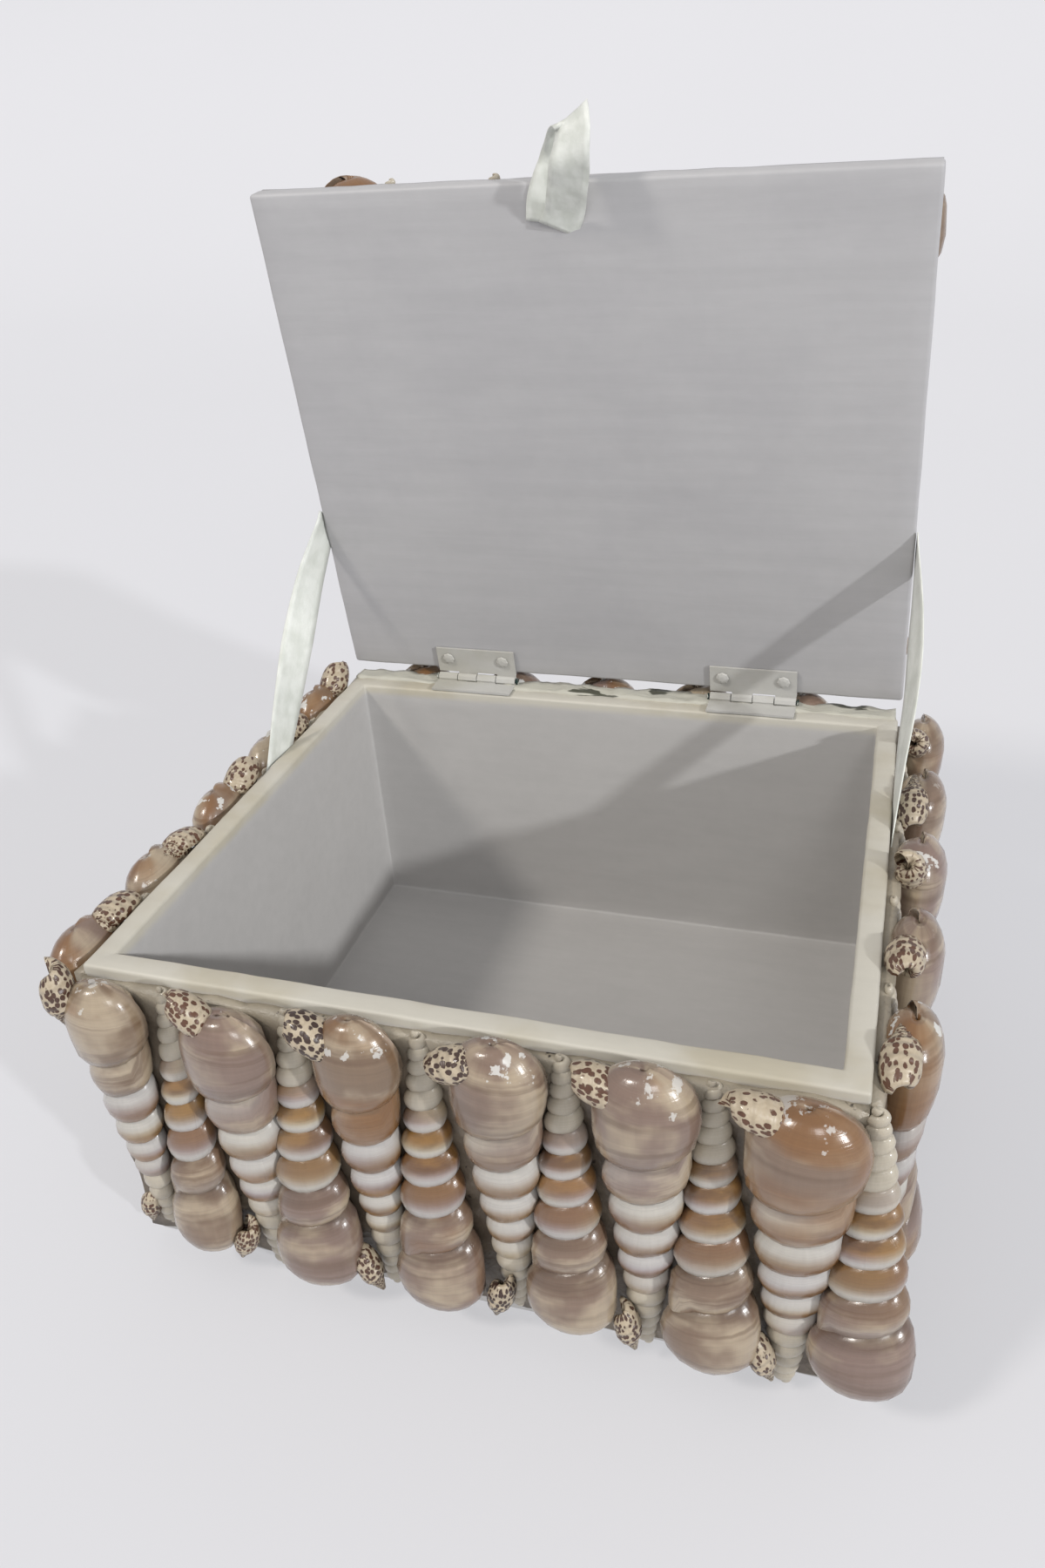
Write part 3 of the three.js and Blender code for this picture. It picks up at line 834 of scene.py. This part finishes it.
# %% Lid shells
LID_SHELL_LENGTH, LID_SHELL_WIDTH = 81 * MM, 21 * MM
LID_BED = 2.3 * MM
LID_RUN = 182 * MM
LID_ROW_DEPTH = 85 * MM
LID_SHELL_COUNT = 12
BED_HALF_DEPTH, BED_HALF_WIDTH = 42 * MM, 100.5 * MM
for row, wide_first in (("pull", True), ("hinge", False)):
    row_middle = LID_HINGE_EDGE - LID_ROW_DEPTH * (1.5 if row == "pull" else 0.5)
    for side in (-1, 1):
        side_name = "left" if side < 0 else "right"
        ends = sorted((0.15 * MM * side, BED_HALF_WIDTH * side))
        bed = cube_between((ends[0], row_middle - BED_HALF_DEPTH, LID_OUTER + 0.3 * MM),
                           (ends[1], row_middle + BED_HALF_DEPTH, LID_OUTER + LID_BED))
        cut_in_grid(bed, 5 * MM)
        uneven(bed, 0.8 * MM, 12 * MM)
        smooth(bed)
        bed.data.transform(to_open)
        put_on(bed, f"lid_glue_{row}_{side_name}", shaded_lid_paint, "lid")
        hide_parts(f"lid_shells_{row}_{side_name}")
    for i in range(LID_SHELL_COUNT):
        look = (shell_choice.random(), shell_choice.random(), shell_choice.random())
        width = LID_SHELL_WIDTH * shell_choice.uniform(1, 1.12)
        piece = laid_turret(big_turret, f"lid_turret_{row}_{i:02d}", width, LID_SHELL_LENGTH,
                            shell_choice.uniform(165, 195), look)
        piece.data.transform(Matrix.Translation((0, 0, -LID_SHELL_LENGTH / 2)))
        wide_out = (i % 2 == 0) == wide_first
        if wide_out:
            piece.data.transform(Matrix.Rotation(math.pi, 4, "Y"))
        piece.data.transform(Matrix.Rotation(-math.pi / 2, 4, "X"))
        x = -LID_RUN / 2 + i * LID_RUN / (LID_SHELL_COUNT - 1)
        past = shell_choice.choice((-5, -4, -3, -2, 1, 3)) * MM if row == "pull" else 0
        piece.data.transform(Matrix.Translation((x, row_middle - past, LID_OUTER + LID_BED - 0.6 * MM)))
        piece.data.transform(to_open)
        put_on(piece, piece.name, turret_finish, "lid")
bpy.data.objects.remove(big_turret)
print("turret shells on the lid:", 2 * LID_SHELL_COUNT)

# %% [markdown]
# ## Small spotted shells
#
# A short ribbed cone, cream with rows of dark brown dots, sits at the top beside each wide end and at the
# bottom beside each tip. It is grown the same way from a flatter section. The dots have to sit in rows
# that follow the whorls, so a cell pattern is drawn in turns and in the place across the whorl.

# %% Spotted shell and its finish
RIBBED_SECTION = [
    (0.10, 0.50), (0.60, 0.78), (0.82, 0.62), (0.90, 0.36), (0.98, 0.10), (0.97, -0.20), (0.93, -0.45),
    (0.80, -0.70), (0.60, -0.88), (0.35, -0.90), (0.10, -0.60), (0.06, -0.05),
]
spotted = grow_shell("spotted", RIBBED_SECTION, turns=5.5, steps_per_turn=16, radius=4.9 * MM, narrowing=0.68,
                     pitch=1.0, last_pitch=0.7, base_stretch=0.7, swelling=0.05)
spotted_finish, tree, shader = new_material("spotted_shell_finish", {"Roughness": 0.38, "Coat Weight": 0.2})
turns, across = attribute(tree, "turns"), attribute(tree, "across")
seed = maths(tree, "MULTIPLY", attribute(tree, "tone"), 50.0)
cells_round, cells_across = maths(tree, "MULTIPLY", turns, 21.0), maths(tree, "MULTIPLY", across, 4.6)
cells = add_node(tree, "ShaderNodeCombineXYZ", {"X": cells_round, "Y": cells_across, "Z": seed}).outputs[0]
dots = add_node(tree, "ShaderNodeTexVoronoi", {"Vector": cells, "Scale": 1.0, "Randomness": 0.8},
                voronoi_dimensions="3D", distance="EUCLIDEAN")
wobble = noise(tree, cells, 2.2, 2)
reach = maths(tree, "ADD", dots.outputs["Distance"],
              maths(tree, "MULTIPLY", maths(tree, "SUBTRACT", wobble, 0.5), 0.35))
dot = ramp(tree, reach, 0.42, 0.52, 1.0, 0.0)
mixed_cream = blended(tree, wobble, "B9AC96", "9C8D77")
dot_colour = blended(tree, attribute(tree, "amber"), "33231D", "5A3A28")
tree.links.new(blended(tree, dot, mixed_cream, dot_colour), shader.inputs["Base Color"])
ribs = maths(tree, "SINE", maths(tree, "MULTIPLY", across, 19.0))
knobs = maths(tree, "ADD", maths(tree, "MULTIPLY", ribs, 0.5), maths(tree, "MULTIPLY", dot, -0.6))
add_bump(tree, shader, knobs, 0.4 * MM, 0.8)
tell_size("spotted shell", spotted)


# %% Place the spotted shells
def lay_spotted(name, row_name, along, out, up, lean, size=1.0):
    """A spotted shell near a wall. Its tip leans from straight up towards +X by lean degrees."""
    piece = own_copy(spotted, name)
    points = points_of(piece)
    middle = (points.max(0) + points.min(0)) / 2
    piece.data.transform(Matrix.Translation([-value for value in middle]))
    piece.data.transform(Matrix.Rotation(math.radians(shell_choice.uniform(40, 140)), 4, "Z"))
    piece.data.transform(Matrix.Scale(size, 4))
    piece.data.transform(Matrix.Rotation(math.radians(lean), 4, "Y"))
    row = rows[row_name]
    piece.data.transform(Matrix.Translation((along, -wall_distance(row) - out, up)))
    piece.data.transform(Matrix.Rotation(math.radians(row["turn"]), 4, "Z"))
    set_number(piece, "tone", shell_choice.random())
    set_number(piece, "amber", shell_choice.random())
    put_on(piece, name, spotted_finish, "box")


# The front ones are placed one by one: lean in degrees, and how far along the wall in mm.
spotted_leans = {1: 175, 3: 125, 5: 115, 7: 70, 9: 105, 11: 100}
spotted_uppers = {1: -99.5, 3: -60, 5: -26.5, 7: 9.5, 9: 44.5, 11: 79}
SPOTTED_UPPER_HEIGHT, SPOTTED_LOWER_HEIGHT = 99 * MM, 16 * MM
spotted_lowers = {1: -97, 3: -63.5, 5: -26, 7: 11.5, 9: 45.5, 11: 79}
for (row_name, number), (middle, wide_up) in columns.items():
    if not wide_up or row_name == "back":
        continue
    lean = spotted_leans[number] if row_name == "front" else shell_choice.uniform(60, 160)
    along, low_along, out = middle - 6 * MM, middle - 10 * MM, 5.5 * MM
    low_out = 3 * MM if number == 1 else 8 * MM
    if row_name == "front":
        along, low_along, out = spotted_uppers[number] * MM, spotted_lowers[number] * MM, 10 * MM
    lay_spotted(f"spotted_upper_{row_name}_{number:02d}", row_name, along, out, SPOTTED_UPPER_HEIGHT, lean,
                shell_choice.uniform(1.04, 1.16))
    lay_spotted(f"spotted_lower_{row_name}_{number:02d}", row_name, low_along, low_out, SPOTTED_LOWER_HEIGHT,
                shell_choice.uniform(150, 200), 0.85)
bpy.data.objects.remove(spotted)

# %% [markdown]
# ## Glue and paint between the shells
#
# The shells are set in thick glue that has been painted over, a lumpy, greyish beige coat. Lower down
# it is coloured dark brown-grey, with a few near-black holes: painted shade deep in the gaps between the
# shells. It is a thin board on each wall, cut in a grid, drawn out to a ledge under the rim and pushed in
# and out by clouds.

# %% Glue
glue_with_painted_shade, tree, shader = new_material("glue_with_painted_shade", {"Roughness": 0.42})
position = object_place(tree)
broad = noise(tree, position, 60, 4)
tight = noise(tree, position, 170, 4, 0.6)
height = height_of(tree, position)
lighter = ramp(tree, broad, 0.38, 0.62)
# The dark brown-grey of the glue is painted shade between the shells; near the rim it turns lighter beige.
glue_colour_and_shade = blended(tree, lighter, "564C41", "786D5F")
glue_colour_and_shade = blended(tree, ramp(tree, height, 88 * MM, 97 * MM), glue_colour_and_shade, "9B9282")
# Near-black holes in the glue: painted shade in its recesses.
painted_shade_hole = ramp(tree, tight, 0.30, 0.35, 1.0, 0.0)
glue_colour_and_shade = blended(tree, painted_shade_hole, glue_colour_and_shade, "2E2723")
tree.links.new(glue_colour_and_shade, shader.inputs["Base Color"])
add_bump(tree, shader, tight, 1.2 * MM, 0.7)

GLUE_DEPTH = 2.2 * MM
GLUE_LOW, GLUE_LEDGE, GLUE_HIGH = 5 * MM, 86 * MM, 97 * MM
for row_name, row in rows.items():
    distance = wall_distance(row)
    size = box_high - box_low
    half_run = (size.x + size.y) / 2 - distance
    glue = cube_between((-half_run, -distance - GLUE_DEPTH, GLUE_LOW), (half_run, -distance + MM, GLUE_HIGH))
    cut_in_grid(glue, 4 * MM)
    select_faces(glue, lambda centre, normal: normal.y < -0.9 and centre.z > GLUE_LEDGE)
    bpy.ops.transform.translate(value=(0, -0.8 * MM, 0))
    uneven(glue, 3.4 * MM, 10 * MM)
    smooth(glue)
    glue.data.transform(Matrix.Rotation(math.radians(row["turn"]), 4, "Z"))
    put_on(glue, f"glue_{row_name}", glue_with_painted_shade, "box")

# %% [markdown]
# ## Ribbons
#
# The ribbons are thin satin, pale greenish white, about twelve millimetres wide. Each stay is glued by its
# head to the lid's side edge and by its foot to the outside of the rim, and it twists a little between
# them. The pull is one strip folded to a loop. A ribbon is a sheet that doesn't stretch, so each one is a
# flat grid laid along a path, and its cut size is the length of that path.

# %% Satin
satin_finish, tree, shader = new_material("satin_finish", {"Anisotropic": 0.6, "Sheen Weight": 0.3})
position = add_node(tree, "ShaderNodeUVMap", uv_map="UVMap").outputs["UV"]
threads = noise(tree, stretched(tree, position, (6, 260, 1)), 1.0, 2)
folds = noise(tree, stretched(tree, position, (14, 2.5, 1)), 1.0, 3)
# The satin's colour goes lighter and darker with the folds: painted shade and sheen.
lighter = ramp(tree, folds, 0.30, 0.70)
satin_colour_with_fold_shade = blended(tree, lighter, "C6C9C1", "D8DAD4")
tree.links.new(satin_colour_with_fold_shade, shader.inputs["Base Color"])
tree.links.new(ramp(tree, threads, 0.3, 0.7, 0.28, 0.45), shader.inputs["Roughness"])
crease = maths(tree, "ADD", maths(tree, "MULTIPLY", folds, 1.0),
               maths(tree, "MULTIPLY", threads, 0.12))
add_bump(tree, shader, crease, 0.6 * MM, 0.5)


# %% Ribbon strips
RIBBON_WIDTH = 11.5 * MM
RIBBON_THICKNESS = 0.35 * MM
RIBBON_STEPS = 60


def smooth_path(points, steps):
    """Points evenly spread along a smooth line through the given ones."""
    rough = []
    padded = [2 * points[0] - points[1], *points, 2 * points[-1] - points[-2]]
    for before, start, end, after in zip(padded, padded[1:], padded[2:], padded[3:]):
        for share in np.linspace(0, 1, 20, endpoint=False):
            leaving, arriving = (end - before) / 2, (after - start) / 2
            square, cube = share ** 2, share ** 3
            rough.append((2 * cube - 3 * square + 1) * start + (cube - 2 * square + share) * leaving
                         + (3 * square - 2 * cube) * end + (cube - square) * arriving)
    rough = np.array(rough + [points[-1]])
    run = np.concatenate([[0], np.cumsum(np.linalg.norm(np.diff(rough, axis=0), axis=1))])
    wanted = np.linspace(0, run[-1], steps)
    return np.array([np.interp(wanted, run, rough[:, axis]) for axis in range(3)]).T, run[-1]


def ribbon(name, points, across):
    """A strip along points. At each of them across is the direction of its width."""
    path, length = smooth_path([np.array(point) * MM for point in points], RIBBON_STEPS + 1)
    turned, _ = smooth_path([np.array(direction, float) for direction in across], RIBBON_STEPS + 1)
    nothing_selected()
    bpy.ops.mesh.primitive_grid_add(x_subdivisions=RIBBON_STEPS, y_subdivisions=6, size=1)
    strip = bpy.context.object
    tangent = np.gradient(path, axis=0)
    tangent /= np.linalg.norm(tangent, axis=1)[:, None]
    turned -= (turned * tangent).sum(1)[:, None] * tangent
    turned /= np.linalg.norm(turned, axis=1)[:, None]
    for vertex in strip.data.vertices:
        step = round((vertex.co.x + 0.5) * RIBBON_STEPS)
        vertex.co = path[step] + vertex.co.y * RIBBON_WIDTH * turned[step]
    strip.data.update()
    only_select(strip)
    thick = strip.modifiers.new("thick", "SOLIDIFY")
    thick.thickness = RIBBON_THICKNESS
    thick.offset = 0
    bpy.ops.object.modifier_apply(modifier=thick.name)
    bpy.ops.object.shade_smooth()
    strip.name = name
    strip.data.name = name
    strip.data.materials.append(satin_finish)
    print(name, "is cut to", round(length / MM, 1), "mm")
    return strip, length


def on_lid(along, depth):
    """Y and Z, in mm, of a point that lies along the open lid from its hinge and under its inner face."""
    y = HINGE_Y - along * math.cos(OPEN_ANGLE) + depth * math.sin(OPEN_ANGLE)
    z = HINGE_Z + along * math.sin(OPEN_ANGLE) + depth * math.cos(OPEN_ANGLE)
    return y, z


for side, side_name, twist in ((-1, "left", 0.9), (1, "right", 0.45)):
    edge = 101.5 * side
    head_end = on_lid(63, 6)
    head = on_lid(58, 1.5)
    points = [
        (100.6 * side, 15.0, 90.0), (100.7 * side, 22.5, 97.0), (101.6 * side, 36.0, 112.0),
        (103.2 * side, 53.0, 129.0), (103.0 * side, 68.0, 146.0), (edge + 0.3 * side, head[0], head[1]),
        (edge, head_end[0], head_end[1]),
    ]
    across = [
        (0, 1, -1), (0, 1, -1), (-0.4 * side, 1, -1), (-twist * side, 1, -0.8),
        (-twist * side, 1, -0.6), (-0.2 * side, 1, -0.5), (0, 1, -0.5),
    ]
    stay, length = ribbon(f"stay_{side_name}", points, across)
    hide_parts(f"stay_ribbon_{side_name}")
    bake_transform(stay)

# The loop, as mm across the lid, past its free edge and out from its inner face. It rises in front, folds
# over at a slant and comes down behind, a little to the left.
LOOP_PATH = [
    (-4, -13, 0.3), (-1, -8, 2.0), (1.5, -1, 6.0), (4, 7, 9.5), (5, 14, 8.0), (4, 17.5, 4.5), (2, 14, 0.8),
    (-1, 7, -0.8), (-4, 1, 0.2), (-6.5, -5, 0.4), (-7.5, -11, 0.3),
]
LOOP_ACROSS = [
    (1, 0.25, 0), (1, 0.30, 0), (0.95, 0.30, 0.15), (0.90, 0.35, 0.25), (0.85, 0.50, 0.15), (0.80, 0.60, 0),
    (0.85, 0.50, -0.15), (0.90, 0.40, -0.2), (0.90, 0.45, 0), (0.95, 0.35, 0), (1, 0.25, 0),
]
LOOP_BASE = 1.45
loop_points = []
loop_across = []
for (across_lid, past, out), (x, y, z) in zip(LOOP_PATH, LOOP_ACROSS):
    local = Vector((across_lid, LID_FREE_EDGE / MM - past, LOOP_BASE - out)) * MM
    loop_points.append(tuple((to_open @ local) / MM))
    loop_across.append(tuple(to_open.to_3x3() @ Vector((x, -y, -z))))
pull, length = ribbon("pull", loop_points, loop_across)
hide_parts("pull_ribbon")
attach(pull, "lid")

# %% [markdown]
# ## Hinges
#
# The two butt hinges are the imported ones. They were painted over with the box, and only between the
# leaves, where the paint broke when the lid moved, does the dark greenish metal show.

# %% Seam of paint between the hinges
SEAM_LOW, SEAM_HIGH = Vector((-99, 84.0, 94.0)) * MM, Vector((99, 91.0, 100.6)) * MM
seam = cube_between(SEAM_LOW, SEAM_HIGH)
cut_in_grid(seam, 1.6 * MM)
uneven(seam, 2.4 * MM, 6 * MM)
smooth(seam)
seam_with_painted_shade, tree, shader = new_material("seam_with_painted_shade", {"Roughness": 0.5})
position = object_place(tree)
gaps = noise(tree, stretched(tree, position, (45, 150, 150)), 1.0, 3, 0.55)
# The dark olive gaps between the seam's lumps of paint are painted shade.
painted_shade_gap = ramp(tree, gaps, 0.36, 0.40, 1.0, 0.0)
seam_colour = blended(tree, painted_shade_gap, "B2B0A4", "4A4A3E")
tree.links.new(seam_colour, shader.inputs["Base Color"])
add_bump(tree, shader, gaps, 2 * MM, 0.8)
put_on(seam, "paint_seam", seam_with_painted_shade, "box")

# %% Hinge finishes
pin_finish, tree, shader = new_material("hinge_pin_finish")
position = object_place(tree)
worn = noise(tree, position, 320, 3)
broken = ramp(tree, worn, 0.50, 0.56)
pin_colour = blended(tree, broken, "2E423F", "A9AAA2")
tree.links.new(pin_colour, shader.inputs["Base Color"])
tree.links.new(ramp(tree, worn, 0.4, 0.6, 0.35, 0.6), shader.inputs["Roughness"])
tree.links.new(ramp(tree, worn, 0.50, 0.56, 0.7, 0.0), shader.inputs["Metallic"])
for side_name in ("left", "right"):
    for part in ("rim_leaf", "lid_leaf", "screw_outer", "screw_inner", "pin"):
        node = bpy.data.objects[f"hinge_{side_name}_{part}"]
        node.data.materials.clear()
        node.data.materials.append(pin_finish if part == "pin" else hinge_paint)
